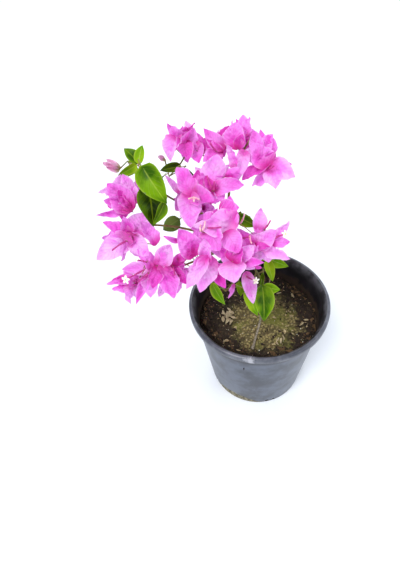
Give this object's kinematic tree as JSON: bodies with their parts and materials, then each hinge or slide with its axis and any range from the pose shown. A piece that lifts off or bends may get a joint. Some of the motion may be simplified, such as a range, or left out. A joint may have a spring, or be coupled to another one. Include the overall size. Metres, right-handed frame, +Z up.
{
  "type": "potted bougainvillea",
  "caption": "Young bougainvillea with pink papery bracts and green leaves, leaning from a thin stem in a round black nursery pot of soil.",
  "frame": {"origin": "centre of the pot's flat underside, on the surface the pot stands on", "axes": "+Z up along the pot's axis; +Y from the side where the stem leaves the soil towards the far rim; the crown leans to -X"},
  "size_m": [0.279, 0.2025, 0.4192],
  "materials": {
    "pot": "dusty black moulded plastic",
    "soil": "rough damp potting soil",
    "bark": "grey-brown bark",
    "shoot": "green-brown young wood",
    "leaf": "satin green leaves",
    "bract": "thin papery pink bracts"
  },
  "bodies": {
    "root": {"pot": "pot", "soil": "soil", "stem": "bark", "bough_far_left": "shoot", "bough_front": "shoot", "bough_left": "shoot", "bough_lower_left": "shoot", "bough_right": "shoot", "bough_top_left": "shoot", "bough_top_right": "shoot", "bough_upper": "shoot", "bracts_back": "bract", "bracts_centre": "bract", "bracts_crest": "bract", "bracts_far_left": "bract", "bracts_front_left": "bract", "bracts_front_right": "bract", "bracts_hanging": "bract", "bracts_inner_left": "bract", "bracts_inner_right": "bract", "bracts_left": "bract", "bracts_lower_left": "bract", "bracts_lower_middle": "bract", "bracts_right": "bract", "bracts_top_left": "bract", "bracts_top_middle": "bract", "bracts_top_right": "bract", "leaves_behind": "leaf", "leaves_heart": "leaf", "leaves_low": "leaf", "leaves_low_left": "leaf", "leaves_over_rim": "leaf", "leaves_tip": "leaf", "leaves_under": "leaf", "leaves_upper": "leaf"}
  },
  "joints": []
}
